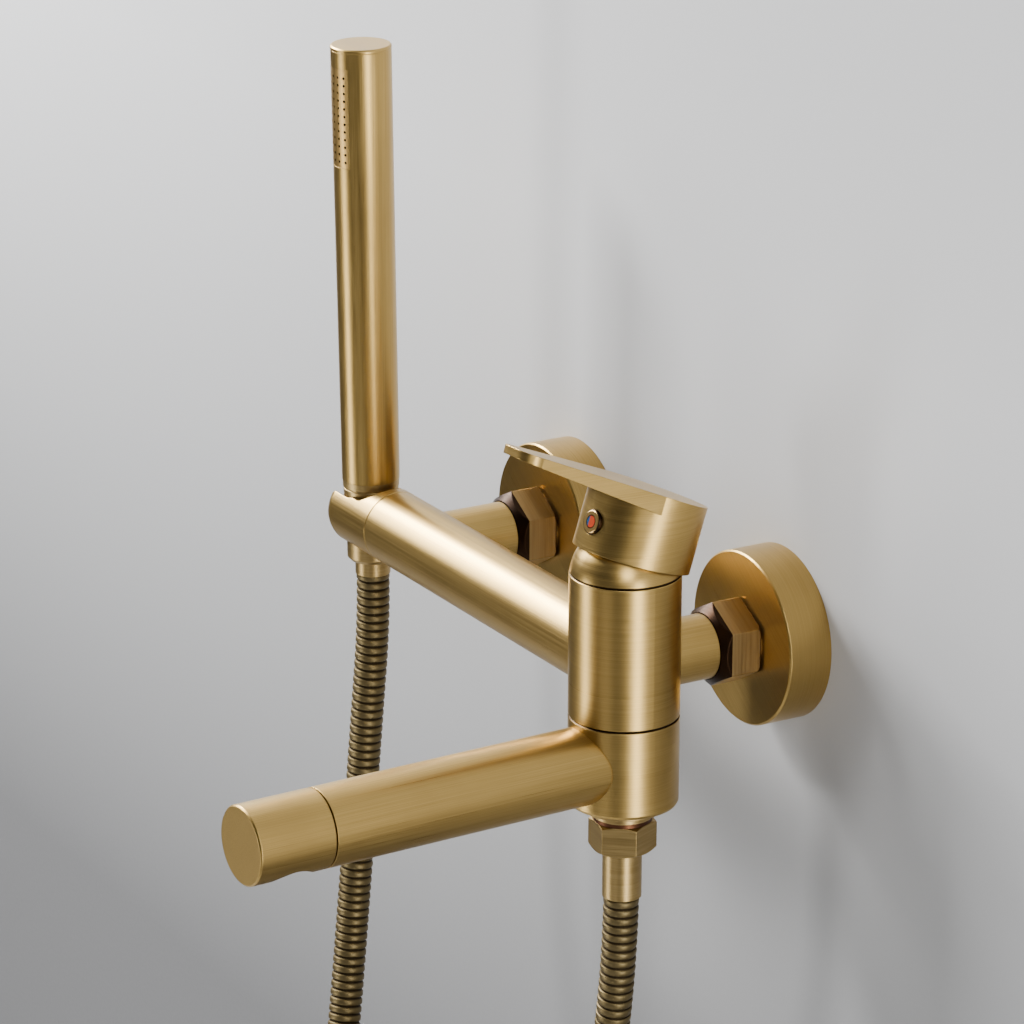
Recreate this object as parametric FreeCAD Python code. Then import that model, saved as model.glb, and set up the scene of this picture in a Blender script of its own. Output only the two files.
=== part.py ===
import FreeCAD, Part
import math
import os

# Wall mounted bath faucet: exposed single lever mixer with a long round spout,
# a turning diverter knob at the spout's end, a slim handset in a tilting holder
# and a shower hose.  Millimetres, +Z up.
# Origin: on the finished wall, midway between the two inlet axes.
# +X is to the right when one faces the wall, +Y goes into the wall.

V = FreeCAD.Vector
X = V(1, 0, 0)
Y = V(0, 1, 0)
Z = V(0, 0, 1)

# Inlets and wall side
inlet_centres = 150.0
inlet_x = inlet_centres / 2
thread_half_radius = 10.48
thread_three_quarter_radius = 13.22
stud_length = 15.0
rosette_radius = 33.7
rosette_depth = 18.3
rosette_wall = 1.4
union_nut_flats = 29.0
union_nut_back = -19.2
union_nut_front = -35.4
union_nut_chamfer = 3.9
tail_radius = 12.5
tail_bore = 8.5
tail_end = -35.6

# Mixer body
projection = 70.0
body_x = inlet_x
body_y = -projection
body_radius = 21.0
body_top = 35.8
body_bottom = -20.0
bar_radius = 15.0
bar_bore = 10.5
bar_end = -100.7
stub_radius = 7.4
stub_bush_radius = 9.0
stub_length = 6.6
seam = 0.3

# Cartridge and lever
cartridge_radius = 17.5
cartridge_floor = -8.0
pivot_z = 33.3
dome_sphere = 21.0
dome_opening = 48.5
lever_rest_swing = 5.7
lever_rest_angle = 18.7
shell_radius = 22.4
shell_wall = 1.6
shell_base = 7.8
plate_tip = 67.6
plate_tip_height = 40.7
plate_heel_height = 33.1
plate_tip_thickness = 3.2
plate_tip_width = 19.4
plate_corner = 7.0
stem_side = 8.0
indicator_radius = 4.7
indicator_height = 18.7
indicator_face = -23.4
lever_screw_slope = 16.0

# Spout
spout_z = -37.5
spout_swing = 2.0
hub_radius = 21.0
hub_bottom = -55.5
neck_radius = 14.0
hub_bore = 14.05
seal_groove_radius = 11.95
seal_heights = (-26.5, -48.5)
tube_radius = 15.0
tube_bore = 13.3
knob_start = 132.2
spout_reach = 163.4
outlet_reach = 147.0
outlet_hole = 11.5
sleeve_radius = 12.6

# Handset and holder
handset_x = -122.2
holder_tilt = 0.95
holder_left = -135.0
holder_bore = 10.75
holder_socket = 11.85
slot_end_x = -117.0
slot_floor = 9.9
holder_ledge = 4.0
handset_bottom = 15.6
handset_top = 195.7
handset_low_radius = 11.75
handset_high_radius = 12.2
handset_bore = 10.4
spray_turn = 3.0
spray_low = 147.5
spray_high = 187.5
spray_columns = 4
spray_rows = 12
spray_pitch_angle = 15.2
spray_pitch = 3.1
spray_first = 150.0
spray_hole = 0.55

# Hose
hose_radius = 6.8
hose_diameter = 2 * hose_radius
ferrule_gap = 0.08
ferrule_radius = 7.5
ferrule_left_radius = 7.2
hose_nut_flats = 22.5
hose_nut_top = -62.6
hose_nut_bottom = -74.7
ferrule_right_end = -94.0
ferrule_left_end = -25.4
hose_straight_top = 37.0

# Coil of the put-away hose, its axis along Y
coil_radius = 68.3
coil_turns = 2.5
coil_x = -34.0
coil_z = -286.0
coil_pitch = 14.0
coil_front = -101.0
coil_back = coil_front + coil_turns * coil_pitch


def cylinder(radius, start, axis, length):
    return Part.makeCylinder(radius, length, start, axis)


def ring(outer, inner, start, axis, length):
    return cylinder(outer, start, axis, length).cut(cylinder(inner, start, axis, length))


def turned(profile, start, axis):
    """Solid of revolution; profile points are (radius, distance along the axis)."""
    points = [V(r, 0, h) for r, h in profile]
    face = Part.Face(Part.makePolygon(points + points[:1]))
    solid = face.revolve(V(0, 0, 0), Z, 360)
    solid.Placement = FreeCAD.Placement(start, FreeCAD.Rotation(Z, axis))
    return solid


def torus(middle, section, centre, axis):
    return Part.makeTorus(middle, section, centre, axis)


def hexagon(flats, start, axis, length, turn=0.0):
    """Hexagonal bar along axis, one corner at the angle turn."""
    corner = flats / math.sqrt(3)
    points = []
    for k in range(7):
        angle = math.radians(turn + 60 * k)
        points.append(V(corner * math.cos(angle), corner * math.sin(angle), 0))
    bar = Part.Face(Part.makePolygon(points)).extrude(Z * length)
    bar.Placement = FreeCAD.Placement(start, FreeCAD.Rotation(Z, axis))
    return bar


def chamfered_hexagon(flats, start, axis, length, chamfer_start, chamfer_end, turn, degrees):
    """Hexagonal nut blank with its corners turned off at that many degrees to its faces."""
    corner = flats / math.sqrt(3)
    slope = math.tan(math.radians(degrees))
    profile = [
        (0, 0),
        (corner - chamfer_start, 0),
        (corner, chamfer_start * slope),
        (corner, length - chamfer_end * slope),
        (corner - chamfer_end, length),
        (0, length),
    ]
    return hexagon(flats, start, axis, length, turn).common(turned(profile, start, axis))


def group(solids):
    return Part.makeCompound(solids)


def save(name, shape):
    solids = shape.Solids
    ok = shape.isValid() and len(solids) > 0
    shape.exportStep("parts/" + name + ".step")
    print("%-26s solids %d  volume %9.1f  valid %s" % (name, len(solids), shape.Volume, ok))


# Inlet side, once for each water supply
def wall_union(x):
    stud = ring(thread_half_radius, 6.5, V(x, -2, 0), Y, 2 + stud_length)
    waist = ring(14.0, 6.5, V(x, -18, 0), Y, 18)
    male = ring(thread_three_quarter_radius - 0.05, 8.0, V(x, -28, 0), Y, 10)
    return stud.fuse([waist, male]).removeSplitter()


def rosette(x):
    profile = [
        (rosette_radius, 0),
        (rosette_radius, rosette_depth - 0.6),
        (rosette_radius - 0.6, rosette_depth),
        (14.05, rosette_depth),
        (14.05, rosette_depth - rosette_wall),
        (rosette_radius - rosette_wall, rosette_depth - rosette_wall),
        (rosette_radius - rosette_wall, 0),
    ]
    return turned(profile, V(x, 0, 0), -Y)


def union_nut(x):
    length = union_nut_back - union_nut_front
    start = V(x, union_nut_front, 0)
    blank = chamfered_hexagon(union_nut_flats, start, Y, length, union_nut_chamfer, 0.8, 30, 45)
    hollow = cylinder(thread_three_quarter_radius, V(x, -30.6, 0), Y, 20)
    mouth = cylinder(11.3, V(x, -40, 0), Y, 20)
    return blank.cut(hollow).cut(mouth)


def union_gasket(x):
    return ring(12.2, 8.5, V(x, -29.4, 0), Y, 1.4)


def check_valve(x):
    outer = cylinder(tail_bore, V(x, -52, 0), Y, 14)
    seat = cylinder(5.0, V(x, -53, 0), Y, 10)
    poppet = cylinder(3.0, V(x, -50, 0), Y, 8.5)
    return outer.cut(seat).fuse(poppet.fuse(cylinder(1.5, V(x, -44, 0), Y, 6))).removeSplitter()


# Mixer body: the upright cylinder, the cross bar and the two inlet tails
def mixer_body():
    axis_point = V(body_x, body_y, 0)
    upright = turned(
        [
            (0, body_bottom),
            (body_radius - 0.4, body_bottom),
            (body_radius, body_bottom + 0.4),
            (body_radius, body_top - 0.4),
            (body_radius - 0.4, body_top),
            (0, body_top),
        ],
        axis_point,
        Z,
    )
    neck = cylinder(neck_radius, V(body_x, body_y, -54), Z, 40)
    bar = cylinder(bar_radius, V(bar_end, body_y, 0), X, body_x - bar_end)
    stub = cylinder(stub_radius, V(bar_end - stub_length, body_y, 0), X, stub_length + 2)
    solid = upright.fuse([neck, bar, stub])
    for x in (-inlet_x, inlet_x):
        tail = cylinder(tail_radius, V(x, body_y, 0), Y, tail_end - body_y)
        spigot = cylinder(10.9, V(x, body_y, 0), Y, -30.3 - body_y)
        flange = cylinder(12.8, V(x, -30.4, 0), Y, 1.0)
        solid = solid.fuse([tail, spigot, flange])
    solid = solid.cut(cylinder(bar_bore, V(-94, body_y, 0), X, 138))
    solid = solid.cut(cylinder(5.0, V(40, body_y, 3), X, 20))
    for x in (-inlet_x, inlet_x):
        solid = solid.cut(cylinder(tail_bore, V(x, -52, 0), Y, 30))
        solid = solid.cut(cylinder(5.0, V(x, -60, 0), Y, 20))
    bore_radius = cartridge_radius + 0.2
    solid = solid.cut(cylinder(bore_radius, V(body_x, body_y, cartridge_floor), Z, 50))
    solid = solid.cut(cylinder(19.15, V(body_x, body_y, 24.4), Z, 20))
    solid = solid.cut(cylinder(7.0, V(body_x, body_y, -60), Z, 60))
    solid = solid.cut(cylinder(9.55, V(body_x, body_y, -60), Z, 16))
    chamber = ring(neck_radius + 1, 12.2, V(body_x, body_y, -44), Z, 13)
    solid = solid.cut(chamber)
    for angle in (0, 90, 180, 270):
        side = V(math.cos(math.radians(angle)), math.sin(math.radians(angle)), 0)
        solid = solid.cut(cylinder(4.0, V(body_x, body_y, spout_z), side, 15))
    for z in seal_heights:
        solid = solid.cut(ring(neck_radius + 1, seal_groove_radius, V(body_x, body_y, z - 1.3), Z, 2.6))
    solid = solid.cut(cylinder(2.1, V(-110, body_y, 0), X, 14))
    return solid.removeSplitter()


# Cartridge
def turned_with_lever(solid):
    """The valve's core stands swung a little, as the lever does."""
    copy = solid.copy()
    copy.rotate(V(body_x, body_y, 0), Z, lever_rest_swing)
    return copy


def cartridge_housing():
    profile = [
        (0, cartridge_floor + 0.4),
        (cartridge_radius, cartridge_floor + 0.4),
        (cartridge_radius, 24.4),
        (15.5, 24.4),
        (15.5, 30.2),
        (14.45, 30.2),
        (14.45, -2.0),
        (0, -2.0),
    ]
    solid = turned(profile, V(body_x, body_y, 0), Z)
    for angle in (90, 210, 330):
        side = math.radians(angle)
        place = V(body_x + 8 * math.cos(side), body_y + 8 * math.sin(side), -10)
        solid = solid.cut(cylinder(3.2, place, Z, 12))
    return solid


def ceramic_fixed():
    solid = cylinder(14.3, V(body_x, body_y, -1.95), Z, 4.0)
    for angle in (90, 210, 330):
        side = math.radians(angle)
        place = V(body_x + 8 * math.cos(side), body_y + 8 * math.sin(side), -4)
        solid = solid.cut(cylinder(3.2, place, Z, 8))
    return solid


def ceramic_moving():
    disc = cylinder(12.5, V(body_x, body_y, 2.1), Z, 3.6)
    return disc.cut(cylinder(8.0, V(body_x, body_y, 2.0), Z, 1.8))


def cartridge_carrier():
    lower = cylinder(14.35, V(body_x, body_y, 5.8), Z, 19.2)
    upper = cylinder(12.6, V(body_x, body_y, 25), Z, 14)
    slot = Part.makeBox(9.0, 25.6, 32, V(body_x - 4.5, body_y - 12.8, 12))
    solid = lower.fuse(upper).cut(slot)
    pin_hole = cylinder(2.0, V(body_x - 20, body_y, pivot_z), X, 40)
    return turned_with_lever(solid.cut(pin_hole))


def stem_pin():
    return turned_with_lever(cylinder(2.0, V(body_x - 11.6, body_y, pivot_z), X, 23.2))


def cartridge_nut():
    solid = ring(19.05, 15.65, V(body_x, body_y, 24.5), Z, 5.0)
    for angle in (0, 90, 180, 270):
        side = math.radians(angle)
        place = V(body_x + 19 * math.cos(side), body_y + 19 * math.sin(side), 27.5)
        solid = solid.cut(cylinder(1.6, place, Z, 3))
    return solid


def dome_ring():
    centre = V(body_x, body_y, pivot_z)
    ball = Part.makeSphere(dome_sphere, centre)
    base = body_top + seam
    band = cylinder(30, V(body_x, body_y, base), Z, dome_opening - base)
    skirt = cylinder(19.05, V(body_x, body_y, 30.0), Z, base - 30.0)
    hollow = Part.makeSphere(dome_sphere - 2.0, centre)
    throat = cylinder(17.6, V(body_x, body_y, 20), Z, 20)
    return ball.common(band).fuse(skirt).cut(hollow).cut(throat).removeSplitter()


# Lever: built closed about its pivot, then lifted by the resting angle and swung
def lifted(solid):
    copy = solid.copy()
    copy.rotate(V(body_x, body_y, pivot_z), X, -lever_rest_angle)
    return turned_with_lever(copy)


lever_screw_axis = V(0, math.cos(math.radians(lever_screw_slope)), math.sin(math.radians(lever_screw_slope)))
lever_screw_seat = V(0, -stem_side / 2, 23.9)


def lever_outline(grow):
    """Plan of the lever plate: round over the body, narrowing to a rounded tip."""
    radius = shell_radius + grow
    half_tip = plate_tip_width / 2 + grow
    tip = -plate_tip - grow
    corner = plate_corner
    heel = Part.Arc(V(radius, 0, 0), V(0, radius, 0), V(-radius, 0, 0)).toShape()
    left = V(-half_tip, tip + corner, 0)
    right = V(half_tip, tip + corner, 0)
    slant = corner * (1 - math.sqrt(0.5))
    edges = [
        heel,
        Part.LineSegment(V(-radius, 0, 0), left).toShape(),
        Part.Arc(left, V(-half_tip + slant, tip + slant, 0), V(-half_tip + corner, tip, 0)).toShape(),
        Part.LineSegment(V(-half_tip + corner, tip, 0), V(half_tip - corner, tip, 0)).toShape(),
        Part.Arc(V(half_tip - corner, tip, 0), V(half_tip - slant, tip + slant, 0), right).toShape(),
        Part.LineSegment(right, V(radius, 0, 0)).toShape(),
    ]
    return Part.Face(Part.Wire(edges))


def lever_top_height(y):
    slope = (plate_tip_height - plate_heel_height) / (plate_tip + 18.75)
    return plate_heel_height + slope * (18.75 - y)


def side_prism(points):
    """Prism across X from (y, z) points."""
    corners = [V(-60, y, z) for y, z in points]
    return Part.Face(Part.makePolygon(corners + corners[:1])).extrude(V(120, 0, 0))


def lever_handle():
    column = cylinder(shell_radius, V(0, 0, shell_base), Z, 60)
    below_top = side_prism(
        [(-90, 0), (40, 0), (40, lever_top_height(40)), (-90, lever_top_height(-90))]
    )
    body = column.common(below_top)
    root_thickness = 7.0
    plate_band = side_prism(
        [
            (-90, lever_top_height(-90)),
            (-plate_tip, lever_top_height(-plate_tip) - plate_tip_thickness),
            (-10, lever_top_height(-10) - root_thickness),
            (40, lever_top_height(40) - root_thickness),
            (40, lever_top_height(40)),
        ]
    )
    plate = lever_outline(0).extrude(Z * 80).common(plate_band)
    cavity = cylinder(shell_radius - shell_wall, V(0, 0, 0), Z, 22.5)
    socket_block = cylinder(8.6, V(0, 0, 20.6), Z, 6)
    hollow = cavity.cut(socket_block)
    stem_socket = Part.makeBox(stem_side + 0.1, stem_side + 0.1, 16, V(-4.05, -4.05, 13.5))
    solid = body.fuse(plate).cut(hollow).cut(stem_socket)
    pocket = cylinder(indicator_radius + 0.05, V(0, -30, indicator_height), Y, 10.5)
    solid = solid.cut(pocket).cut(cylinder(2.05, lever_screw_seat, -lever_screw_axis, 16))
    solid.translate(V(body_x, body_y, pivot_z))
    return lifted(solid.removeSplitter())


def lever_stem():
    shaft = Part.makeBox(stem_side, stem_side, 43, V(-4, -4, -15))
    shaft = shaft.cut(cylinder(2.05, V(-20, 0, 0), X, 40))
    shaft.translate(V(body_x, body_y, pivot_z))
    return lifted(shaft)


def lever_screw():
    """Set screw reached through the indicator's hole; it clamps the stem."""
    head = lever_screw_seat - lever_screw_axis * 8.0
    screw = cylinder(2.0, head, lever_screw_axis, 7.3)
    screw = screw.cut(hexagon(2.0, head, lever_screw_axis, 2.5))
    screw.translate(V(body_x, body_y, pivot_z))
    return lifted(screw)


def indicator_plug():
    plug = turned(
        [(0, 0), (3.9, 0), (4.45, 0.2), (indicator_radius, 0.6), (indicator_radius, 3.4), (0, 3.4)],
        V(0, indicator_face, indicator_height),
        Y,
    )
    plug.translate(V(body_x, body_y, pivot_z))
    return lifted(plug)


# Spout, built towards -Y and swung to its resting angle
def swung(solid):
    copy = solid.copy()
    copy.rotate(V(body_x, body_y, 0), Z, spout_swing)
    return copy


def along_spout(distance, height=0.0):
    return V(body_x, body_y - distance, spout_z + height)


def spout_hub():
    profile = [
        (hub_bore, body_bottom - seam),
        (hub_radius - 0.4, body_bottom - seam),
        (hub_radius, body_bottom - seam - 0.4),
        (hub_radius, hub_bottom + 1.5),
        (hub_radius - 0.5, hub_bottom + 0.5),
        (hub_radius - 1.5, hub_bottom),
        (hub_bore, hub_bottom),
    ]
    solid = turned(profile, V(body_x, body_y, 0), Z)
    solid = solid.cut(ring(19.0, 13.0, V(body_x, body_y, body_bottom - 1.5), Z, 5))
    solid = solid.cut(cylinder(10.0, along_spout(10), -Y, 20))
    return swung(solid)


def hub_glide_ring():
    return ring(18.9, 14.2, V(body_x, body_y, body_bottom - 1.45), Z, 1.4)


def hub_seals():
    return group([torus(12.98, 0.98, V(body_x, body_y, z), Z) for z in seal_heights])


def spout_tube():
    tube = ring(tube_radius, tube_bore, along_spout(0), -Y, knob_start - 0.4)
    return swung(tube.cut(cylinder(hub_radius, V(body_x, body_y, -80), Z, 90)))


def diverter_sleeve():
    inner = cylinder(tube_bore - 0.02, along_spout(116), -Y, 15.4)
    outer = cylinder(sleeve_radius, along_spout(116), -Y, 42.6)
    bore = cylinder(9.0, along_spout(110), -Y, 46)
    port = cylinder(8.6, along_spout(outlet_reach), -Z, 20)
    groove = ring(15, 11.4, along_spout(135), -Y, 1.3)
    seal_groove = ring(15, 11.2, along_spout(120), -Y, 2.4)
    return swung(inner.fuse(outer).cut(bore).cut(port).cut(groove).cut(seal_groove))


def aerator():
    shell = ring(8.5, 6.9, along_spout(outlet_reach, -9.4), Z, 7.0)
    bridge = ring(7.5, 2.0, along_spout(outlet_reach, -5.0), Z, 1.2)
    return swung(shell.fuse(bridge).removeSplitter())


def aerator_screen():
    plate = cylinder(6.8, along_spout(outlet_reach, -8.9), Z, 1.0)
    for radius, count in ((2.2, 6), (4.6, 12)):
        for k in range(count):
            angle = 2 * math.pi * k / count
            place = along_spout(outlet_reach + radius * math.cos(angle), -9.5)
            place = place + X * (radius * math.sin(angle))
            plate = plate.cut(cylinder(0.6, place, Z, 2))
    return swung(plate)


def diverter_snap_ring():
    return swung(ring(13.3, 11.5, along_spout(135.1), -Y, 1.1))


def diverter_seal():
    return swung(torus(12.2, 0.95, along_spout(121.2), Y))


def diverter_knob():
    length = spout_reach - knob_start
    profile = [
        (12.85, 0),
        (tube_radius - 0.4, 0),
        (tube_radius, 0.4),
        (tube_radius, length - 0.6),
        (tube_radius - 0.6, length),
        (0, length),
        (0, length - 4.2),
        (12.85, length - 4.2),
    ]
    knob = turned(profile, along_spout(knob_start), -Y)
    knob = knob.cut(ring(13.6, 12.0, along_spout(134.9), -Y, 1.5))
    knob = knob.cut(cylinder(outlet_hole, along_spout(outlet_reach), -Z, 30))
    return swung(knob)


# Bottom outlet and the hose's first fitting
def hub_retaining_washer():
    return ring(16.5, 10.55, V(body_x, body_y, -57.3), Z, 1.5)


def outlet_nipple():
    axis_point = V(body_x, body_y, 0)
    profile = [
        (7.8, -71.0),
        (10.0, -71.0),
        (thread_half_radius, -70.5),
        (thread_half_radius, -60.9),
        (11.6, -60.9),
        (11.6, -57.3),
        (9.5, -57.3),
        (9.5, -44.4),
        (7.8, -44.4),
    ]
    return turned(profile, axis_point, Z)


def nipple_gasket():
    return ring(11.2, 10.55, V(body_x, body_y, hose_nut_top), Z, -60.9 - hose_nut_top)


def hose_nut():
    length = hose_nut_top - hose_nut_bottom
    blank = chamfered_hexagon(
        hose_nut_flats, V(body_x, body_y, hose_nut_bottom), Z, length, 2.4, 1.6, -7.7, 30
    )
    hollow = cylinder(thread_half_radius, V(body_x, body_y, -73.0), Z, 20)
    mouth = cylinder(ferrule_radius + 0.1, V(body_x, body_y, -80), Z, 20)
    return blank.cut(hollow).cut(mouth)


def hose_washer():
    return ring(10.3, 7.65, V(body_x, body_y, -72.9), Z, 1.8)


def ferrule_right():
    start = V(body_x, body_y, ferrule_right_end)
    length = hose_nut_bottom + 1.6 - ferrule_right_end
    return ring(ferrule_radius, hose_radius + ferrule_gap, start, Z, length)


# Holder and handset: built upright, then tilted about the bar's axis
def tilted(solid):
    copy = solid.copy()
    copy.rotate(V(0, body_y, 0), X, holder_tilt)
    return copy


def handset_point(z):
    return V(handset_x, body_y, z)


def slot_block(end_x, floor):
    """Round-ended slot, open at the holder's left end, from a floor upwards."""
    height = 30
    straight = Part.makeBox(60, 2 * holder_socket, height, V(end_x - 60, body_y - holder_socket, floor))
    return straight.fuse(cylinder(holder_socket, V(end_x, body_y, floor), Z, height))


def holder_body():
    right = bar_end - seam
    profile = [
        (0, 0),
        (bar_radius - 4.0, 0),
        (bar_radius - 2.0, 0.55),
        (bar_radius - 0.6, 2.0),
        (bar_radius, 4.0),
        (bar_radius, right - holder_left - 0.3),
        (bar_radius - 0.3, right - holder_left),
        (0, right - holder_left),
    ]
    solid = turned(profile, V(holder_left, body_y, 0), X)
    solid = solid.cut(cylinder(holder_bore, handset_point(-30), Z, 60))
    solid = solid.cut(slot_block(handset_x, holder_ledge)).cut(slot_block(slot_end_x, slot_floor))
    solid = solid.cut(cylinder(stub_bush_radius, V(-107.7, body_y, 0), X, 12))
    solid = solid.cut(cylinder(2.6, V(-115, body_y, 0), X, 12))
    solid = solid.cut(cylinder(3.9, V(-115, body_y, 0), X, 5.6))
    return tilted(solid)


def holder_bush():
    return tilted(ring(stub_bush_radius, stub_radius + 0.04, V(-107.6, body_y, 0), X, 6.4))


def holder_screw():
    profile = [(0, 0), (3.6, 0), (3.6, 1.6), (2.0, 1.6), (2.0, 13.0), (0, 13.0)]
    screw = turned(profile, V(-111.2, body_y, 0), X)
    return screw.cut(hexagon(3.0, V(-111.2, body_y, 0), X, 1.2))


def holder_seat():
    return tilted(ring(holder_socket - 0.05, holder_bore + 0.1, handset_point(holder_ledge), Z, 1.0))


def handset_fitting():
    """Slim swivel fitting: screws up into the handset, passes down through the holder."""
    profile = [
        (7.6, -19.3),
        (9.0, -19.3),
        (10.35, -17.8),
        (10.35, 15.3),
        (9.9, 15.3),
        (9.9, 29.0),
        (8.6, 29.0),
        (8.6, 5.8),
        (7.6, 5.8),
    ]
    return tilted(turned(profile, handset_point(0), Z))


def handset_collar():
    profile = [
        (10.37, holder_ledge + 1.05),
        (11.2, holder_ledge + 1.05),
        (11.2, 11.8),
        (10.9, 12.0),
        (10.9, 12.5),
        (11.5, 12.7),
        (11.5, handset_bottom),
        (10.37, handset_bottom),
    ]
    return tilted(turned(profile, handset_point(0), Z))


def ferrule_left():
    profile = [
        (hose_radius + ferrule_gap, ferrule_left_end),
        (ferrule_left_radius, ferrule_left_end),
        (ferrule_left_radius, 6.1),
        (8.3, 6.1),
        (8.3, 9.5),
        (hose_radius + ferrule_gap, 9.5),
    ]
    return tilted(turned(profile, handset_point(0), Z))


def handset_tube():
    length = handset_top - 1.6 - handset_bottom
    end_radius = handset_high_radius - 0.004
    outer = Part.makeCone(handset_low_radius, end_radius, length, handset_point(handset_bottom), Z)
    tube = outer.cut(cylinder(handset_bore, handset_point(0), Z, 260))
    return tilted(tube.cut(spray_window(0.0)))


def spray_window(shrink):
    """Curved block facing the room, from inside the tube's wall to outside it."""
    half = math.radians(31.0) - shrink / handset_high_radius
    inner, outer = handset_bore - 1.0, handset_high_radius + 3
    middle = math.radians(-90 + spray_turn)
    points = []
    for radius, order in ((inner, (-1, 0, 1)), (outer, (1, 0, -1))):
        for side in order:
            angle = middle + side * half
            points.append(V(radius * math.cos(angle), radius * math.sin(angle), 0))
    edges = [
        Part.Arc(points[0], points[1], points[2]).toShape(),
        Part.LineSegment(points[2], points[3]).toShape(),
        Part.Arc(points[3], points[4], points[5]).toShape(),
        Part.LineSegment(points[5], points[0]).toShape(),
    ]
    block = Part.Face(Part.Wire(edges)).extrude(Z * (spray_high - spray_low - 2 * shrink))
    block.translate(handset_point(spray_low + shrink))
    return block


def spray_face():
    shell = ring(handset_high_radius - 0.12, handset_bore - 0.6, handset_point(spray_low), Z, 60)
    plate = shell.common(spray_window(0.08))
    first = -90 + spray_turn - spray_pitch_angle * (spray_columns - 1) / 2
    drills = []
    for column in range(spray_columns):
        angle = math.radians(first + column * spray_pitch_angle)
        side = V(math.cos(angle), math.sin(angle), 0)
        for row in range(spray_rows):
            place = handset_point(spray_first + row * spray_pitch)
            drills.append(cylinder(spray_hole, place + side * 8, side, 6))
    return tilted(plate.cut(group(drills)))


def handset_cap():
    profile = [
        (0, handset_top - 6.0),
        (handset_bore - 0.02, handset_top - 6.0),
        (handset_bore - 0.02, handset_top - 1.6),
        (handset_high_radius, handset_top - 1.6),
        (handset_high_radius, handset_top - 0.5),
        (handset_high_radius - 0.5, handset_top),
        (0, handset_top),
    ]
    return tilted(turned(profile, handset_point(0), Z))


def handset_liner():
    """Plastic waterway inside the handle, open behind the spray face."""
    liner = ring(9.4, 8.2, handset_point(44), Z, 140)
    slot = Part.makeBox(14, 20, 36, V(handset_x - 7, body_y - 20, spray_low + 2))
    return tilted(liner.cut(slot))


def handset_base():
    """Threaded insert that takes the hose fitting and carries the liner."""
    profile = [
        (9.95, 17.0),
        (10.38, 17.0),
        (10.38, 44.0),
        (8.2, 44.0),
        (8.2, 40.0),
        (9.95, 30.0),
    ]
    return tilted(turned(profile, handset_point(0), Z))


def flow_limiter():
    return tilted(ring(8.15, 3.0, handset_point(41), Z, 2.4))


# Hose: plain tubes on straight runs and tangent arcs, and one solid for the coil
def tilted_point(z):
    point = V(0, 0, z)
    rotation = FreeCAD.Rotation(X, holder_tilt)
    turned_point = rotation.multVec(point)
    return V(handset_x, body_y + turned_point.y, turned_point.z)


left_leg_route = [
    tilted_point(hose_straight_top),
    tilted_point(-4.0),
    V(-122.2, -69.3, -46.0),
    V(-122.2, -73.2, -90.0),
    V(-121.6, -77.5, -138.0),
    V(-119.4, -82.5, -180.0),
    V(-114.8, -88.4, -215.0),
    V(-107.8, -96.0, -247.0),
    V(coil_x - coil_radius, coil_front, coil_z + 8.0),
]
right_leg_route = [
    V(body_x, body_y, -77.0),
    V(body_x, body_y - 0.05, -105.0),
    V(72.6, -71.6, -148.0),
    V(62.5, -71.6, -190.0),
    V(46.5, -69.0, -226.0),
    V(36.5, -66.6, -254.0),
    V(coil_x + coil_radius, coil_back, coil_z + 8.0),
]


def route_wire(name, points):
    """Straight runs joined by tangent arcs, as large as the shorter run allows."""
    edges = []
    start = points[0]
    radii = []
    for before, corner, after in zip(points, points[1:], points[2:]):
        run_in = corner - before
        run_out = after - corner
        turn = run_in.getAngle(run_out)
        reach = 0.45 * min(run_in.Length, run_out.Length)
        radii.append(reach / math.tan(turn / 2))
        arc_start = corner - run_in / run_in.Length * reach
        arc_end = corner + run_out / run_out.Length * reach
        toward = (arc_start + arc_end) * 0.5 - corner
        gap = radii[-1] / math.cos(turn / 2) - radii[-1]
        middle = corner + toward / toward.Length * gap
        edges.append(Part.LineSegment(start, arc_start).toShape())
        edges.append(Part.Arc(arc_start, middle, arc_end).toShape())
        start = arc_end
    edges.append(Part.LineSegment(start, points[-1]).toShape())
    wire = Part.Wire(edges)
    runs = [(b - a).Length for a, b in zip(points, points[1:])]
    print(name, "length %.1f" % wire.Length, "runs", [round(r, 1) for r in runs])
    print(name, "radii", [round(r) for r in radii])
    return wire


def hose_leg(name, points):
    wire = route_wire(name, points)
    circle = Part.makeCircle(hose_radius, points[0], points[1] - points[0])
    solid = wire.makePipeShell([Part.Wire([circle])], True, False, 2)
    section = math.pi * hose_radius ** 2
    print(name, "volume ratio %.4f" % (solid.Volume / (section * wire.Length)))
    return solid, wire.Length


def hose_coil():
    start = V(coil_x, coil_front - hose_radius, coil_z)
    length = coil_back - coil_front + hose_diameter
    outer = coil_radius + hose_radius
    inner = coil_radius - hose_radius
    return ring(outer, inner, start, Y, length)


def coil_ties():
    """Two narrow straps round the bundle of turns, at its top and bottom."""
    low = coil_front - hose_radius
    length = coil_back - coil_front + hose_diameter
    straps = []
    for side in (1, -1):
        middle = coil_z + side * coil_radius
        high = 2 * hose_radius + 3.0
        outer = Part.makeBox(8, length + 3.0, high, V(coil_x - 4, low - 1.5, middle - high / 2))
        bundle = hose_coil()
        straps.append(outer.cut(bundle))
    return group(straps)


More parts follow.
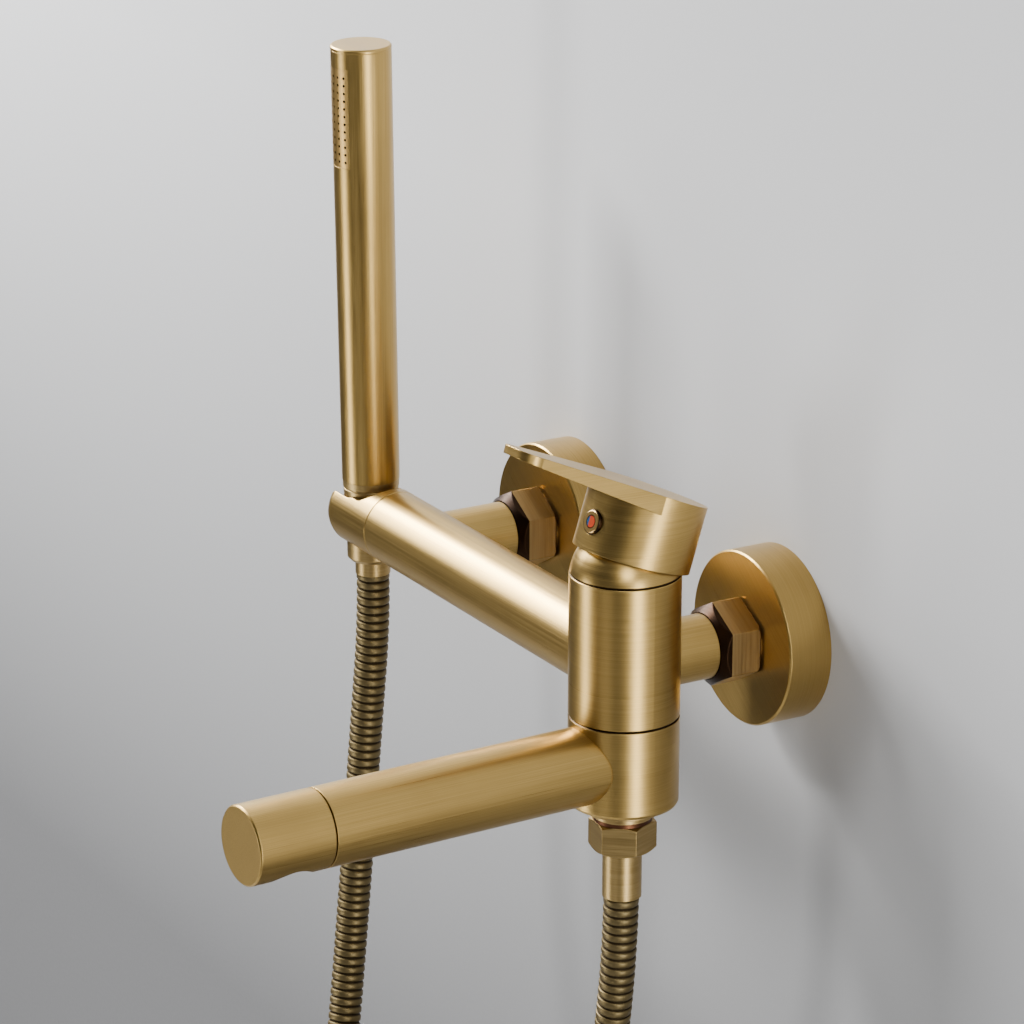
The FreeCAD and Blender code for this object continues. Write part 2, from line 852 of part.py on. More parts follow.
def main():
    os.makedirs("parts", exist_ok=True)
    for side, x in (("left", -inlet_x), ("right", inlet_x)):
        save("wall_union_" + side, wall_union(x))
        save("rosette_" + side, rosette(x))
        save("union_nut_" + side, union_nut(x))
        save("union_gasket_" + side, union_gasket(x))
        save("check_valve_" + side, check_valve(x))
    for maker in (
        mixer_body,
        cartridge_housing,
        ceramic_fixed,
        ceramic_moving,
        cartridge_carrier,
        stem_pin,
        cartridge_nut,
        dome_ring,
        lever_handle,
        lever_stem,
        lever_screw,
        indicator_plug,
        spout_hub,
        hub_glide_ring,
        hub_seals,
        spout_tube,
        diverter_sleeve,
        aerator,
        aerator_screen,
        diverter_snap_ring,
        diverter_seal,
        diverter_knob,
        hub_retaining_washer,
        outlet_nipple,
        nipple_gasket,
        hose_nut,
        hose_washer,
        ferrule_right,
        holder_body,
        holder_bush,
        holder_screw,
        holder_seat,
        handset_fitting,
        handset_collar,
        ferrule_left,
        handset_tube,
        spray_face,
        handset_cap,
        handset_liner,
        handset_base,
        flow_limiter,
        hose_coil,
        coil_ties,
    ):
        save(maker.__name__, maker())
    left, left_length = hose_leg("hose_left_leg", left_leg_route)
    right, right_length = hose_leg("hose_right_leg", right_leg_route)
    save("hose_left_leg", left)
    save("hose_right_leg", right)
    coil_length = coil_turns * math.hypot(2 * math.pi * coil_radius, coil_pitch)
    print("hose length %.1f mm" % (left_length + right_length + coil_length))


main()
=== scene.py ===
# %% [markdown]
# # A wall mounted bath faucet in antique brass
# Every turned and drilled part of the faucet arrives from the engineering model at its true size.
# This notebook gives those parts their finish, and models the pieces that need a sculptor's hand:
# the ribbed hose and its straps. The small hot and cold mark on the lever is laid out in a finish.

# %% Load the engineering model
import math

import bmesh
import bpy
from mathutils import Matrix, Vector


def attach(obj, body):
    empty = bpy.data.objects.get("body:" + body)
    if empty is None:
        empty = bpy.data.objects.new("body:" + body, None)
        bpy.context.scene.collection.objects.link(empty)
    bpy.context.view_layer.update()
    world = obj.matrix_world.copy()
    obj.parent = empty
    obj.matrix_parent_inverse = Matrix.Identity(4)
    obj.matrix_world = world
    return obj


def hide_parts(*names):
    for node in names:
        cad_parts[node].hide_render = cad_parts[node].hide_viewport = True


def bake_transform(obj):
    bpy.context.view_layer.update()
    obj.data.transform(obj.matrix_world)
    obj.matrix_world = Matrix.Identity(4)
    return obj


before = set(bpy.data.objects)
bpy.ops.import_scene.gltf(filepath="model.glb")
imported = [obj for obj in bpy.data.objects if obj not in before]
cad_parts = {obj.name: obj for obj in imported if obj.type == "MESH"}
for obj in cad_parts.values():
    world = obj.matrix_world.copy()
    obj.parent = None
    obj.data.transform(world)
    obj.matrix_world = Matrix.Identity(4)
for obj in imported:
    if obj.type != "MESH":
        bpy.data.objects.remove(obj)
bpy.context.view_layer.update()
print("nodes:", len(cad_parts))

# %% [markdown]
# ## Camera
# A faucet shows best from the side and a little above, so that the long spout and the bar run across
# the view. A long lens keeps the parallel edges of the metal nearly parallel. The
# camera could be aimed with a constraint, but a turned matrix is easier to read and never changes.

# %% Camera
camera_place = Vector((1.40724, -0.89315, 0.59401))
camera_target = Vector((-0.00644, -0.07115, 0.0350))
camera_data = bpy.data.cameras.new("camera")
camera_data.sensor_width = 36.0
camera_data.lens = 158.19
camera = bpy.data.objects.new("camera", camera_data)
bpy.context.scene.collection.objects.link(camera)
aim = (camera_target - camera_place).to_track_quat("-Z", "Y").to_matrix().to_4x4()
roll = Matrix.Rotation(math.radians(0.153), 4, "Z")
camera.matrix_world = Matrix.Translation(camera_place) @ aim @ roll
bpy.context.scene.camera = camera
print("camera distance: %.3f m" % (camera_target - camera_place).length)

# %% [markdown]
# ## The hose's route
# A shower hose hangs in one loose loop from the bottom outlet to the handset. Here its spare length is
# wound into a coil and tied, as one would store it. Its line is a NURBS curve of order 3 through the
# points of that route. The order is set after the points are added, because before that it falls back
# to straight runs.

# %% Hose route
hose_diameter = 0.0136
coil_x, coil_z = -0.034, -0.286
coil_radius = 0.0683
coil_turns = 2.5
coil_pitch = 0.014
coil_front = -0.101
tilt = math.radians(0.95)
left_leg = [
    (-0.1222, -0.07 - 0.037 * math.sin(tilt), 0.037 * math.cos(tilt)),
    (-0.1222, -0.07 + 0.004 * math.sin(tilt), -0.004 * math.cos(tilt)),
    (-0.1222, -0.0693, -0.046),
    (-0.1222, -0.0732, -0.090),
    (-0.1216, -0.0775, -0.138),
    (-0.1194, -0.0825, -0.180),
    (-0.1148, -0.0884, -0.215),
    (-0.1078, -0.0960, -0.247),
]
right_leg = [
    (0.0750, -0.0700, -0.077),
    (0.0750, -0.07005, -0.105),
    (0.0726, -0.0716, -0.148),
    (0.0625, -0.0716, -0.190),
    (0.0465, -0.0690, -0.226),
    (0.0365, -0.0666, -0.254),
]
points_per_turn = 16
coil = []
for step in range(int(coil_turns * points_per_turn) + 1):
    turned = step / points_per_turn
    angle = math.pi - 2 * math.pi * turned
    reach = coil_radius / math.cos(math.pi / points_per_turn) ** 0.5
    coil.append(
        (
            coil_x + reach * math.cos(angle),
            coil_front + coil_pitch * turned,
            coil_z - reach * math.sin(angle),
        )
    )
route = right_leg + coil[::-1] + left_leg[::-1]


def linked_object(name, data):
    """A new object around some data, linked into the scene."""
    made = bpy.data.objects.new(name, data)
    bpy.context.scene.collection.objects.link(made)
    return made


def object_from(mesh, name):
    """An object with the shape of an edit mesh, which is used up."""
    data = bpy.data.meshes.new(name)
    mesh.to_mesh(data)
    mesh.free()
    return linked_object(name, data)


def nurbs_points(points, resolution):
    """Points along the smooth line of a route, read from its NURBS curve."""
    data = bpy.data.curves.new("route", "CURVE")
    data.dimensions = "3D"
    data.resolution_u = resolution
    spline = data.splines.new("NURBS")
    spline.points.add(len(points) - 1)
    for target, point in zip(spline.points, points):
        target.co = (*point, 1.0)
    spline.order_u = 3
    spline.use_endpoint_u = True
    holder = linked_object("route", data)
    line = bpy.data.meshes.new_from_object(holder)
    read = [vertex.co.copy() for vertex in line.vertices]
    bpy.data.objects.remove(holder)
    return read


def spaced(points, pitch):
    """The same line with its points a constant pitch apart."""
    result = [points[0].copy()]
    left_over = 0.0
    for start, end in zip(points, points[1:]):
        length = (end - start).length
        travelled = pitch - left_over
        while travelled <= length:
            result.append(start.lerp(end, travelled / length))
            travelled += pitch
        left_over = length - (travelled - pitch)
    return result


hose_line = nurbs_points(route, 24)
measured = sum((b - a).length for a, b in zip(hose_line, hose_line[1:]))
print("hose line: %.3f m through %d points" % (measured, len(route)))

# %% [markdown]
# ## Shader maths
# A finish is a small recipe of noise, masks and colours. Written node by node it is hard to read, so a
# small class wraps a socket and turns ordinary arithmetic into Math nodes. Any other node comes from
# one method, which sets its options first and then its inputs.

# %% A socket that does arithmetic
class Wire:
    def __init__(self, recipe, socket):
        self.recipe = recipe
        self.socket = socket

    def _maths(self, operation, first, second):
        return self.recipe.node("ShaderNodeMath", {"operation": operation}, {0: first, 1: second})

    def __add__(self, other):
        return self._maths("ADD", self, other)

    __radd__ = __add__

    def __sub__(self, other):
        return self._maths("SUBTRACT", self, other)

    def __rsub__(self, other):
        return self._maths("SUBTRACT", other, self)

    def __mul__(self, other):
        return self._maths("MULTIPLY", self, other)

    def __rmul__(self, other):
        return self._maths("MULTIPLY", other, self)

    def __gt__(self, other):
        return self._maths("GREATER_THAN", self, other)

    def __lt__(self, other):
        return self._maths("LESS_THAN", self, other)


class Recipe:
    """A material that is being written."""

    def __init__(self, name):
        self.material = bpy.data.materials.new(name)
        self.material.use_nodes = True
        self.tree = self.material.node_tree
        self.tree.nodes.clear()
        self.shader = self.tree.nodes.new("ShaderNodeBsdfPrincipled")
        self.output = self.tree.nodes.new("ShaderNodeOutputMaterial")
        self.tree.links.new(self.shader.outputs["BSDF"], self.output.inputs["Surface"])

    def node(self, kind, options, inputs, output=0):
        made = self.tree.nodes.new(kind)
        for option, value in options.items():
            setattr(made, option, value)
        for key, value in inputs.items():
            self.feed(self._socket(made.inputs, key), value)
        return Wire(self, self._socket(made.outputs, output))

    def _socket(self, sockets, key):
        """A socket by its number, its name or its identifier."""
        named = [socket for socket in sockets if socket.identifier == key]
        return named[0] if named else sockets[key]

    def feed(self, socket, value):
        if isinstance(value, Wire):
            self.tree.links.new(value.socket, socket)
        elif isinstance(value, tuple) and len(value) == 3 and socket.type == "RGBA":
            socket.default_value = (*value, 1.0)
        else:
            socket.default_value = value

    def finish(self, **sockets):
        for name, value in sockets.items():
            self.feed(self.shader.inputs[name.replace("_", " ")], value)
        return self.material

    # the few steps that most finishes share
    def place(self, centre=(0, 0, 0), turn=(0, 0, 0), scale=(1, 1, 1)):
        where = self.node("ShaderNodeTexCoord", {}, {}, "Object")
        options = {"vector_type": "TEXTURE"}
        inputs = {"Vector": where, "Location": centre, "Rotation": turn}
        local = self.node("ShaderNodeMapping", options, inputs)
        return self.node("ShaderNodeVectorMath", {"operation": "MULTIPLY"}, {0: local, 1: scale})

    def along(self, vector, axis):
        """One coordinate, X, Y or Z, of a place."""
        return self.node("ShaderNodeSeparateXYZ", {}, {"Vector": vector}, axis)

    def noise(self, vector, scale=1.0, detail=3.0, rough=0.55):
        inputs = {"Vector": vector, "Scale": scale, "Detail": detail, "Roughness": rough}
        return self.node("ShaderNodeTexNoise", {}, inputs)

    def blend(self, factor, dark, light):
        inputs = {"Factor": factor, "A_Color": dark, "B_Color": light}
        return self.node("ShaderNodeMix", {"data_type": "RGBA"}, inputs, "Result_Color")

    def span(self, value, low, high, to_low=0.0, to_high=1.0):
        inputs = {0: value, 1: low, 2: high, 3: to_low, 4: to_high}
        return self.node("ShaderNodeMapRange", {"clamp": True}, inputs)


# %% [markdown]
# ## Brushed antique brass
# The maker brushes each part with a belt or a wheel, then darkens it and rubs it back. The brush leaves
# fine lines that run round an upright part and along a bar, so the finish is noise stretched along the
# brush: a few cells per turn one way and two or three a millimetre the other. The lines change the
# roughness, the height and a little of the colour, and a slow cloudy noise keeps the patina uneven. A
# bitmap would do the same, but would show its seam round a cylinder.

# %% Brushed brass recipe
brass_light = (0.50, 0.336, 0.110)
brass_mid = (0.39, 0.253, 0.075)
brass_worn = (0.22, 0.130, 0.040)
seam_wax = (0.050, 0.028, 0.010)
upright = (9, 9, 5200)


def edge_softener(recipe, radius):
    """Rounds the shading of sharp edges, as a buffed part's edges are."""
    return recipe.node("ShaderNodeBevel", {"samples": 6}, {"Radius": radius})


def brush_lines(recipe, stretch, turn):
    """Fine scratches: noise drawn out along the brush, with a broader drift under it."""
    fine = recipe.noise(recipe.place(turn=turn, scale=stretch), 1.0, 3.0, 0.6)
    wide = tuple(share * 0.35 for share in stretch)
    return fine * 0.85 + recipe.noise(recipe.place(turn=turn, scale=wide), 1.0, 2.0) * 0.15


def brushed(name, stretch, turn=(0, 0, 0), light=brass_light, dark=brass_mid, depth=0.07, rough=0.31,
            front=None, seams=()):
    """Brushed metal. In front of the `front` line the face is brushed straight and slanting. Dark wax
    stays in the joints at the `seams` heights, in millimetres."""
    recipe = Recipe(name)
    lines = brush_lines(recipe, stretch, turn)
    if front is not None:
        straight = brush_lines(recipe, (7, 60, 6500), (0, math.radians(38), 0))
        on_face = recipe.along(recipe.place(), "Y") < front
        lines = lines + (straight - lines) * on_face
    patina = recipe.noise(recipe.place(), 26.0, 3.0)
    base = recipe.blend(recipe.span(lines, 0.34, 0.66), dark, light)
    worn = recipe.blend(recipe.span(patina, 0.42, 0.80, 0.0, 0.20), base, brass_worn)
    height = recipe.along(recipe.place(scale=(1000, 1000, 1000)), "Z")
    for seam in seams:
        away = height - seam
        worn = recipe.blend((away * away) < 0.2, worn, seam_wax)
    roughness = recipe.span(lines, 0.3, 0.7, rough - 0.04, rough + 0.09)
    soft = edge_softener(recipe, 0.0004)
    relief = recipe.node(
        "ShaderNodeBump", {}, {"Height": lines, "Normal": soft, "Strength": depth, "Distance": 0.00008}
    )
    return recipe.finish(Base_Color=worn, Roughness=roughness, Metallic=1.0, Normal=relief)


brass_round_z = brushed("brass_brushed_round", upright)
brass_upright = brushed("brass_brushed_upright", upright, seams=(36.0, -20.2))
brass_along_x = brushed("brass_brushed_along_bar", (14, 4200, 4200))
brass_along_spout = brushed("brass_brushed_along_spout", (4200, 14, 4200), turn=(0, 0, math.radians(2)))
brass_along_z = brushed("brass_brushed_along_handset", (3000, 3000, 10), depth=0.05)
brass_round_y = brushed("brass_brushed_rose", (9, 5200, 9), front=-0.0177)
print("brushed brass finishes:", 6)

# %% [markdown]
# ## Darker bronze for nuts and fittings
# Nuts and fittings are cast or turned and only oiled, so they stay browner than the brushed parts. The
# same recipe serves with darker colours and a coarser brush. The nuts at the wall also carry painted
# shade: a near-black cone in front of their flats, for the shadow in the gap between pipe and nut,
# which a mask across the part colours.

# %% Bronze recipe
bronze_y = brushed("bronze_turned_y", (40, 1500, 40), light=(0.37, 0.245, 0.103), dark=(0.30, 0.192, 0.078),
                   rough=0.31)
bronze_z = brushed("bronze_turned_z", (40, 40, 1500), light=(0.44, 0.310, 0.125), dark=(0.34, 0.230, 0.085),
                   rough=0.36)
shaded_cone_start = -0.03155


def wall_nut_finish():
    recipe = Recipe("bronze_nut_with_painted_shade_cone")
    lines = brush_lines(recipe, (40, 1500, 40), (0, 0, 0))
    bronze = recipe.blend(recipe.span(lines, 0.3, 0.7), (0.27, 0.172, 0.068), (0.34, 0.222, 0.090))
    # painted shade: in front of the flats the nut is near black, for the shadow in the gap between pipe and
    # nut
    on_shaded_cone = recipe.along(recipe.place(), "Y") < shaded_cone_start
    colour = recipe.blend(on_shaded_cone, bronze, (0.024, 0.012, 0.006))
    roughness = recipe.span(lines, 0.3, 0.7, 0.32, 0.44)
    soft = edge_softener(recipe, 0.0006)
    return recipe.finish(Base_Color=colour, Roughness=roughness, Metallic=1.0, Normal=soft)


wall_nut = wall_nut_finish()
print("bronze finishes:", bronze_y.name, bronze_z.name, wall_nut.name)

# %% [markdown]
# ## Plastics, rubber, ceramic and steel
# The hidden pieces still get a finish with some life in it: a moulded plastic has a fine grain, rubber
# is nearly black with a dusty bloom, and a lapped ceramic disc is smooth and slightly mottled.

# %% Plain finishes
def moulded(name, dark, light, rough, grain=900.0, metallic=0.0, depth=0.12):
    recipe = Recipe(name)
    cloud = recipe.noise(recipe.place(), 70.0, 3.0)
    fine = recipe.noise(recipe.place(), grain, 2.0)
    colour = recipe.blend(recipe.span(cloud, 0.35, 0.65), dark, light)
    roughness = recipe.span(fine, 0.3, 0.7, rough - 0.06, rough + 0.08)
    relief = recipe.node("ShaderNodeBump", {}, {"Height": fine, "Strength": depth, "Distance": 0.0001})
    return recipe.finish(Base_Color=colour, Roughness=roughness, Metallic=metallic, Normal=relief)


rubber = moulded("black_rubber", (0.012, 0.010, 0.009), (0.030, 0.026, 0.022), 0.62)
dark_copper = moulded("dark_copper", (0.085, 0.036, 0.018), (0.15, 0.062, 0.030), 0.4, 900.0, 1.0)
fibre = moulded("fibre_gasket", (0.30, 0.09, 0.045), (0.42, 0.15, 0.07), 0.7, 1800.0)
white_plastic = moulded("white_plastic", (0.70, 0.70, 0.67), (0.78, 0.78, 0.75), 0.42)
grey_plastic = moulded("grey_plastic", (0.16, 0.165, 0.17), (0.22, 0.225, 0.23), 0.45)
ceramic = moulded("lapped_ceramic", (0.74, 0.72, 0.66), (0.82, 0.80, 0.75), 0.18)
steel = moulded("stainless_steel", (0.44, 0.44, 0.45), (0.60, 0.60, 0.60), 0.30, 1200.0, 1.0)
strap_cloth = moulded("black_strap", (0.02, 0.018, 0.016), (0.05, 0.045, 0.04), 0.8, 2600.0, 0.0, 0.5)
plain_finishes = (rubber, dark_copper, fibre, white_plastic, grey_plastic, ceramic, steel, strap_cloth)
print("plain finishes:", ", ".join(finish.name for finish in plain_finishes))

# %% [markdown]
# ## Spray patch and hot and cold mark
# Two small things have more than one colour. The nozzles of the spray patch are black rubber at the
# bottom of brass holes, so the finish turns black below the skin, measured from the handset's axis. The
# mark on the lever is a brass button with a red and a blue half moon inside a dark ring; its finish is
# laid out on the button's own face, where its rings are told apart by the square of the distance from
# its centre, in square millimetres.

# %% Spray and mark finishes
handset_foot = (-0.1222, -0.07, 0.0)
millimetres = (1000, 1000, 1000)
spray_skin = 11.8
mark_rim_squared = 17.6
mark_groove_squared = 6.6
mark_moons_squared = 4.6
lever_pivot = Vector((0.075, -0.070, 0.0333))
lever_swing, lever_lift = math.radians(5.7), math.radians(-18.7)


def spray_patch_finish():
    recipe = Recipe("spray_patch")
    local = recipe.place(handset_foot, (tilt, 0, 0), millimetres)
    across = recipe.along(local, "X")
    deep = recipe.along(local, "Y")
    inside = (across * across + deep * deep) < spray_skin * spray_skin
    lines = brush_lines(recipe, (3000, 3000, 10), (0, 0, 0))
    skin = recipe.blend(recipe.span(lines, 0.34, 0.66), (0.44, 0.275, 0.085), (0.54, 0.350, 0.120))
    colour = recipe.blend(inside, skin, (0.006, 0.005, 0.004))
    return recipe.finish(Base_Color=colour, Roughness=recipe.span(lines, 0.3, 0.7, 0.30, 0.42),
                         Metallic=1.0 - inside)


def hot_cold_finish():
    recipe = Recipe("hot_cold_mark")
    turn = Matrix.Rotation(lever_swing, 3, "Z") @ Matrix.Rotation(lever_lift, 3, "X")
    face = lever_pivot + turn @ Vector((0, -0.0234, 0.0187))
    local = recipe.place(tuple(face), (lever_lift, 0, lever_swing), millimetres)
    right = recipe.along(local, "X")
    high = recipe.along(local, "Z")
    square = right * right + high * high
    outer_ring = square > mark_rim_squared
    inner_ring = (square > mark_moons_squared) * (square < mark_groove_squared)
    moons = square < mark_moons_squared
    brass = recipe.blend(recipe.noise(local, 3.0), (0.42, 0.26, 0.09), (0.56, 0.37, 0.13))
    dark = recipe.blend(recipe.span(outer_ring + inner_ring, 0, 1), brass, (0.030, 0.018, 0.010))
    moon = recipe.blend(right > -1.0, (0.015, 0.075, 0.20), (0.50, 0.060, 0.020))
    colour = recipe.blend(moons, dark, moon)
    return recipe.finish(Base_Color=colour, Roughness=recipe.span(moons, 0, 1, 0.3, 0.22),
                         Metallic=1.0 - moons * 0.7)


spray_patch = spray_patch_finish()
hot_cold_mark = hot_cold_finish()
print("small finishes:", spray_patch.name, hot_cold_mark.name)

# %% [markdown]
# ## Finishes onto the engineering parts
# Each finish lists the parts that get it, which reads more easily than a material for every part.

# %% Finishes onto the engineering parts
finish_of = {
    brass_upright: ["mixer_body", "dome_ring", "spout_hub"],
    brass_round_z: ["lever_handle", "handset_cap"],
    brass_along_spout: ["spout_tube", "diverter_knob"],
    brass_along_x: ["holder_body"],
    brass_along_z: ["handset_tube"],
    spray_patch: ["spray_face"],
    hot_cold_mark: ["indicator_plug"],
    brass_round_y: ["rosette_left", "rosette_right"],
    bronze_y: ["wall_union_left", "wall_union_right", "diverter_sleeve"],
    wall_nut: ["union_nut_left", "union_nut_right"],
    bronze_z: ["hose_nut", "ferrule_right", "ferrule_left", "handset_fitting", "outlet_nipple",
               "hub_retaining_washer", "cartridge_nut", "handset_collar", "handset_base", "lever_stem"],
    dark_copper: ["nipple_gasket"],
    rubber: ["hub_seals", "hose_washer", "diverter_seal"],
    fibre: ["union_gasket_left", "union_gasket_right"],
    white_plastic: ["check_valve_left", "check_valve_right", "hub_glide_ring", "cartridge_carrier",
                    "holder_bush", "holder_seat", "handset_liner"],
    grey_plastic: ["cartridge_housing", "aerator", "flow_limiter"],
    ceramic: ["ceramic_fixed", "ceramic_moving"],
    steel: ["stem_pin", "lever_screw", "holder_screw", "diverter_snap_ring", "aerator_screen"],
}


def paint(thing, material):
    thing.data.materials.clear()
    thing.data.materials.append(material)


for finish, names in finish_of.items():
    for name in names:
        paint(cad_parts[name], finish)
print("painted nodes:", sum(len(names) for names in finish_of.values()))

# %% [markdown]
# ## The ribbed metal hose
# A shower hose is a strip of brass folded into itself as a long helix, which shows as round bands with
# a dark groove between them. One could array a single band along a curve, but the bands would
# part in the bends. Here one ring of points is extruded along the route instead, and each new ring is
# set to the band's own radius, so the skin stays in one closed piece. A groove value is kept on every
# point, so that the finish can paint shade into the grooves later.

# %% Hose
band_pitch = 0.0035
band_outer = 0.00686
band_groove = 0.0061
band_profile = [(0.00, band_groove), (0.10, 0.00672), (0.22, band_outer), (0.64, 0.0068), (0.78, 0.00655),
                (0.88, band_groove)]
hose_sides = 28
bands_at_once = 12
line_step = 0.00039


def frames_along(line):
    """A place and two cross directions for each point, turned as little as possible."""
    across = None
    for index, point in enumerate(line):
        before = line[max(index - 1, 0)]
        after = line[min(index + 1, len(line) - 1)]
        forward = (after - before).normalized()
        if across is None:
            across = forward.orthogonal().normalized()
        across = (across - forward * across.dot(forward)).normalized()
        yield point, across, forward.cross(across)


def set_ring(loop, groove, frame_here, radius):
    """Puts a ring of points round one place of the route and notes how deep in the groove it is."""
    centre, across, up = frame_here
    for side, vertex in enumerate(loop):
        turn = 2 * math.pi * side / hose_sides
        vertex.co = centre + (across * math.cos(turn) + up * math.sin(turn)) * radius
        vertex[groove] = (band_outer - radius) / (band_outer - band_groove)


def hose_length_of(stations, first, last):
    """A short length of hose: a ring of points extruded through its stations."""
    mesh = bmesh.new()
    groove = mesh.verts.layers.float.new("groove")
    loop = bmesh.ops.create_circle(mesh, cap_ends=first, segments=hose_sides, radius=1.0)["verts"]
    edges = list(mesh.edges)
    set_ring(loop, groove, *stations[0])
    for frame_here, radius in stations[1:]:
        made = bmesh.ops.extrude_edge_only(mesh, edges=edges)["geom"]
        loop = [part for part in made if isinstance(part, bmesh.types.BMVert)]
        ring = set(loop)
        new_edges = [part for part in made if isinstance(part, bmesh.types.BMEdge)]
        edges = [edge for edge in new_edges if ring.issuperset(edge.verts)]
        set_ring(loop, groove, frame_here, radius)
    if last:
        bmesh.ops.holes_fill(mesh, edges=edges, sides=0)
    data = bpy.data.meshes.new("length")
    mesh.to_mesh(data)
    mesh.free()
    return data


def ribbed_hose(name, line):
    """The whole hose, made a few bands at a time and joined at the shared rings."""
    frames = list(frames_along(spaced(line, line_step)))
    bands = int(len(frames) * line_step / band_pitch)
    stations = []
    for band in range(bands):
        for share, radius in band_profile:
            index = min(round((band + share) * band_pitch / line_step), len(frames) - 1)
            stations.append((frames[index], radius))
    whole = bmesh.new()
    whole.verts.layers.float.new("groove")
    count = bands_at_once * len(band_profile)
    for start in range(0, len(stations) - 1, count):
        part = stations[start:start + count + 1]
        data = hose_length_of(part, start == 0, start + count + 1 >= len(stations))
        whole.from_mesh(data)
        bpy.data.meshes.remove(data)
    bmesh.ops.remove_doubles(whole, verts=whole.verts, dist=0.000002)
    bmesh.ops.recalc_face_normals(whole, faces=whole.faces)
    for face in whole.faces:
        face.smooth = True
    return object_from(whole, name)


hose = ribbed_hose("metal_hose", hose_line)
print("hose faces:", len(hose.data.polygons), "points:", len(hose.data.vertices))

# %% [markdown]
# ## The hose's finish
# The bands are handled and rubbed, and the finish darkens with the groove value: painted shade
# down in the grooves.

# %% Hose finish
def hose_finish():
    recipe = Recipe("hose_antique_bronze")
    groove_depth = recipe.node("ShaderNodeAttribute", {"attribute_name": "groove"}, {}, "Fac")
    cloud = recipe.noise(recipe.place(), 240.0, 3.0)
    skin = recipe.blend(cloud, (0.125, 0.092, 0.040), (0.20, 0.152, 0.070))
    # painted shade: the grooves are darkened to near black with the groove depth
    painted_groove_shade = recipe.blend(recipe.span(groove_depth, 0.12, 0.8), skin, (0.034, 0.023, 0.011))
    roughness = recipe.span(groove_depth, 0.0, 0.8, 0.46, 0.65)
    return recipe.finish(Base_Color=painted_groove_shade, Roughness=roughness, Metallic=1.0)


paint(hose, hose_finish())
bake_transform(hose)
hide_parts("hose_left_leg", "hose_right_leg", "hose_coil")
print("hose finish:", hose.data.materials[0].name)

# %% [markdown]
# ## Straps round the coil
# Two narrow straps keep the turns together. Each is a flat band that goes once round the bundle: a
# rounded rectangle, extruded to the strap's width and given its thickness with the solidify operator.

# %% Straps
strap_width = 0.008
strap_thickness = 0.0011
strap_corner = 0.0062
strap_slack = 0.0006
strap_shift = -0.004


def strap(mesh, centre, depth, height):
    """Adds the open band of one strap to a mesh."""
    corners = bmesh.ops.create_grid(mesh, x_segments=1, y_segments=1, size=0.5)["verts"]
    place = Matrix.Translation(centre) @ Matrix.Rotation(math.radians(90), 4, "Y")
    bmesh.ops.transform(mesh, verts=corners, matrix=place @ Matrix.Diagonal((height, depth, 1, 1)))
    bmesh.ops.bevel(mesh, geom=corners, offset=strap_corner, offset_type="OFFSET", segments=5,
                    profile=0.5, affect="VERTICES", material=-1)
    face = [f for f in mesh.faces if all(abs(v.co.x - centre.x) < 1e-6 and
            abs(v.co.z - centre.z) < height for v in f.verts)]
    outline = list({e for f in face for e in f.edges})
    bmesh.ops.delete(mesh, geom=face, context="FACES_ONLY")
    made = bmesh.ops.extrude_edge_only(mesh, edges=outline)["geom"]
    moved = [g for g in made if isinstance(g, bmesh.types.BMVert)]
    bmesh.ops.translate(mesh, verts=moved, vec=(strap_width, 0, 0))


def straps(name):
    mesh = bmesh.new()
    low = coil_front - hose_diameter / 2
    depth = coil_turns * coil_pitch + hose_diameter
    middle = low + depth / 2
    for side in (1, -1):
        centre = Vector((coil_x + strap_shift, middle, coil_z + side * coil_radius))
        strap(mesh, centre, depth + strap_slack, hose_diameter + strap_slack)
    bmesh.ops.recalc_face_normals(mesh, faces=mesh.faces)
    made = object_from(mesh, name)
    wall = made.modifiers.new("thickness", "SOLIDIFY")
    wall.thickness = strap_thickness
    wall.offset = 1.0
    return made


coil_straps = straps("coil_straps")
paint(coil_straps, strap_cloth)
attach(coil_straps, "mixer")
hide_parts("coil_ties")
[tuple(p) for p in spaced(hose_line, 0.004)]
print("straps:", len(coil_straps.data.polygons), "faces")

# %% [markdown]
# ## Studio
# The faucet hangs on a pale wall over a pale floor. The wall's paint carries painted shade: it goes
# darker towards its foot, standing in for the light falling off down the wall, and the underside of the
# spout then mirrors it. It is only seen from the room: from behind, it lets the view through to the
# faucet.

# %% Wall and floor
def sheet_of_stage(name, size, place, turn, material):
    """A flat piece of the studio, which doesn't belong to the faucet."""
    mesh = bmesh.new()
    bmesh.ops.create_grid(mesh, x_segments=1, y_segments=1, size=size)
    bmesh.ops.transform(mesh, verts=mesh.verts, matrix=Matrix.Translation(place) @ turn)
    made = object_from(mesh, name)
    paint(made, material)


stage_size = 3.0
stage_floor = -1.2
# heights between which the wall's painted shade runs from dark to pale
painted_shade_foot, painted_shade_head = -0.34, 0.12


def backdrop_with_painted_shade():
    """Pale paint with painted shade that darkens it towards the foot, and clear from behind."""
    recipe = Recipe("wall_paint_with_painted_shade")
    grain = recipe.noise(recipe.place(), 500.0, 2.0)
    # painted shade: the paint goes from pale at the head to dark at the foot, standing in for the light
    # falling off
    height = recipe.span(recipe.along(recipe.place(), "Z"), painted_shade_foot, painted_shade_head)
    shade = recipe.blend(height, (0.145, 0.145, 0.148), (0.56, 0.562, 0.568))
    tone = recipe.blend(grain * 0.06, shade, (0.5, 0.5, 0.5))
    material = recipe.finish(Base_Color=tone, Roughness=0.7)
    clear = recipe.tree.nodes.new("ShaderNodeBsdfTransparent")
    chooser = recipe.tree.nodes.new("ShaderNodeMixShader")
    recipe.feed(chooser.inputs[0], recipe.node("ShaderNodeNewGeometry", {}, {}, "Backfacing"))
    recipe.feed(chooser.inputs[1], Wire(recipe, recipe.shader.outputs[0]))
    recipe.feed(chooser.inputs[2], Wire(recipe, clear.outputs[0]))
    recipe.feed(recipe.output.inputs["Surface"], Wire(recipe, chooser.outputs[0]))
    return material


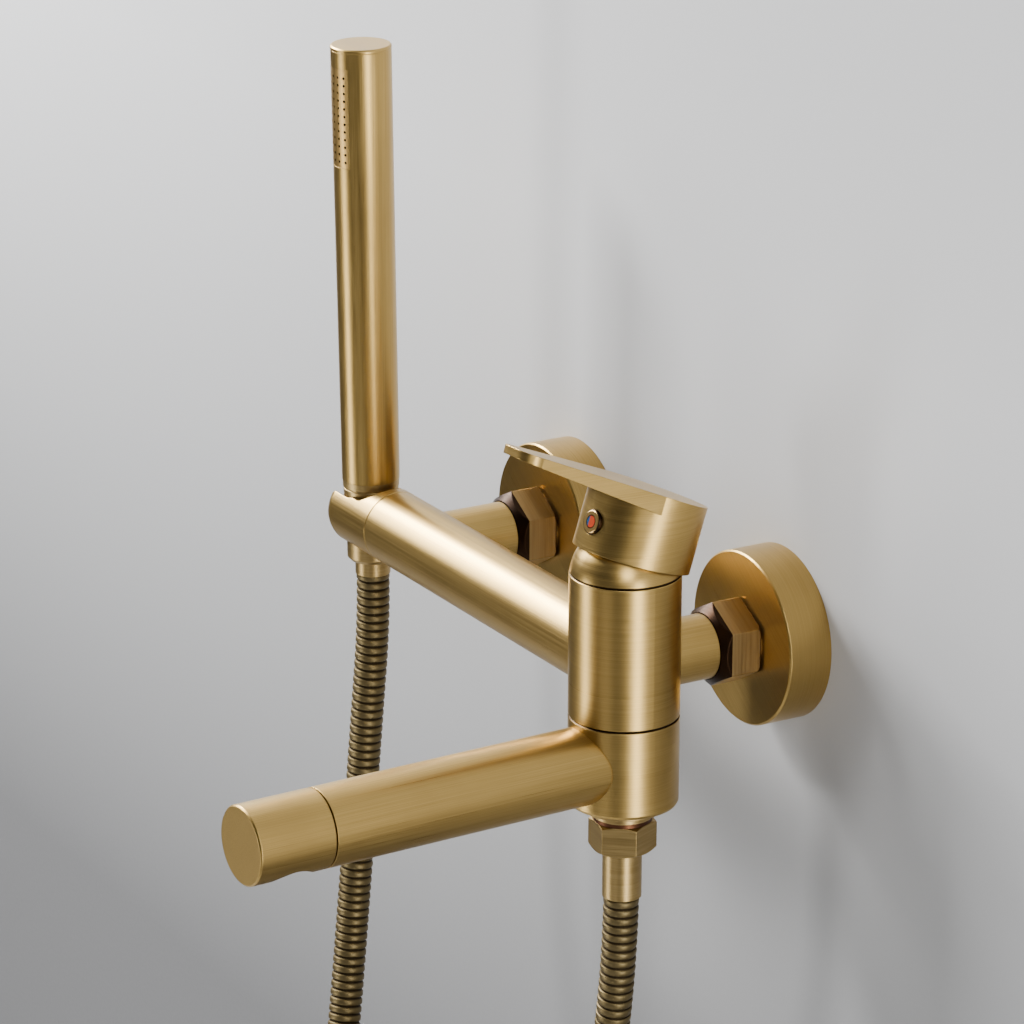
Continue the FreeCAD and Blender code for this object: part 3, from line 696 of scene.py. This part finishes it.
def floor_paint():
    recipe = Recipe("floor_paint")
    grain = recipe.noise(recipe.place(), 300.0, 2.0)
    tone = recipe.blend(grain, (0.44, 0.44, 0.44), (0.48, 0.48, 0.475))
    return recipe.finish(Base_Color=tone, Roughness=0.6)


upright_turn = Matrix.Rotation(math.radians(90), 4, "X")
sheet_of_stage("studio_wall", stage_size, Vector((0, 0, 0)), upright_turn, backdrop_with_painted_shade())
sheet_of_stage("studio_floor", stage_size, Vector((0, 0, stage_floor)), Matrix.Identity(4), floor_paint())
print("stage: wall and floor")

# %% [markdown]
# ## Lights
# Brass shows little but what it mirrors, so each light is placed for one reflection: the key for the
# shadows, a box on the left for the bar's bright line, one low in front for the left side of every
# upright, one on the right for the right side, and a weak fill. A single environment picture could
# serve, but separate boxes can be moved one at a time.

# %% Lights
def soft_light(name, place, size, power, target=(0, -0.07, 0)):
    data = bpy.data.lights.new(name, "AREA")
    data.shape = "RECTANGLE"
    data.size, data.size_y = size
    data.energy = power
    made = linked_object(name, data)
    facing = (Vector(target) - Vector(place)).to_track_quat("-Z", "Y").to_matrix().to_4x4()
    made.matrix_world = Matrix.Translation(place) @ facing


soft_light("key_high_left", (-1.10, -0.92, 1.08), (0.34, 0.34), 36.0)
soft_light("wall_wash", (-0.25, -0.50, 1.15), (1.5, 0.45), 1.5, target=(-0.1, -0.02, 0.3))
soft_light("wall_glow", (0.80, -0.42, 0.42), (0.30, 0.30), 3.4, target=(0.34, 0.0, 0.10))
soft_light("box_left", (-1.25, -0.28, 0.86), (0.50, 0.50), 60.0)
soft_light("box_left_low", (-1.30, -0.72, 0.58), (0.42, 0.42), 9.0)
soft_light("box_front_left", (-0.60, -1.38, -0.42), (0.34, 0.70), 7.5)
soft_light("fill_front", (0.55, -1.35, -0.55), (0.60, 0.60), 0.7)
soft_light("box_right", (1.50, -0.16, -0.30), (0.42, 1.1), 17.0)
world = bpy.data.worlds.new("studio_air")
world.use_nodes = True
world.node_tree.nodes["Background"].inputs["Color"].default_value = (0.80, 0.82, 0.86, 1.0)
world.node_tree.nodes["Background"].inputs["Strength"].default_value = 0.08
bpy.context.scene.world = world
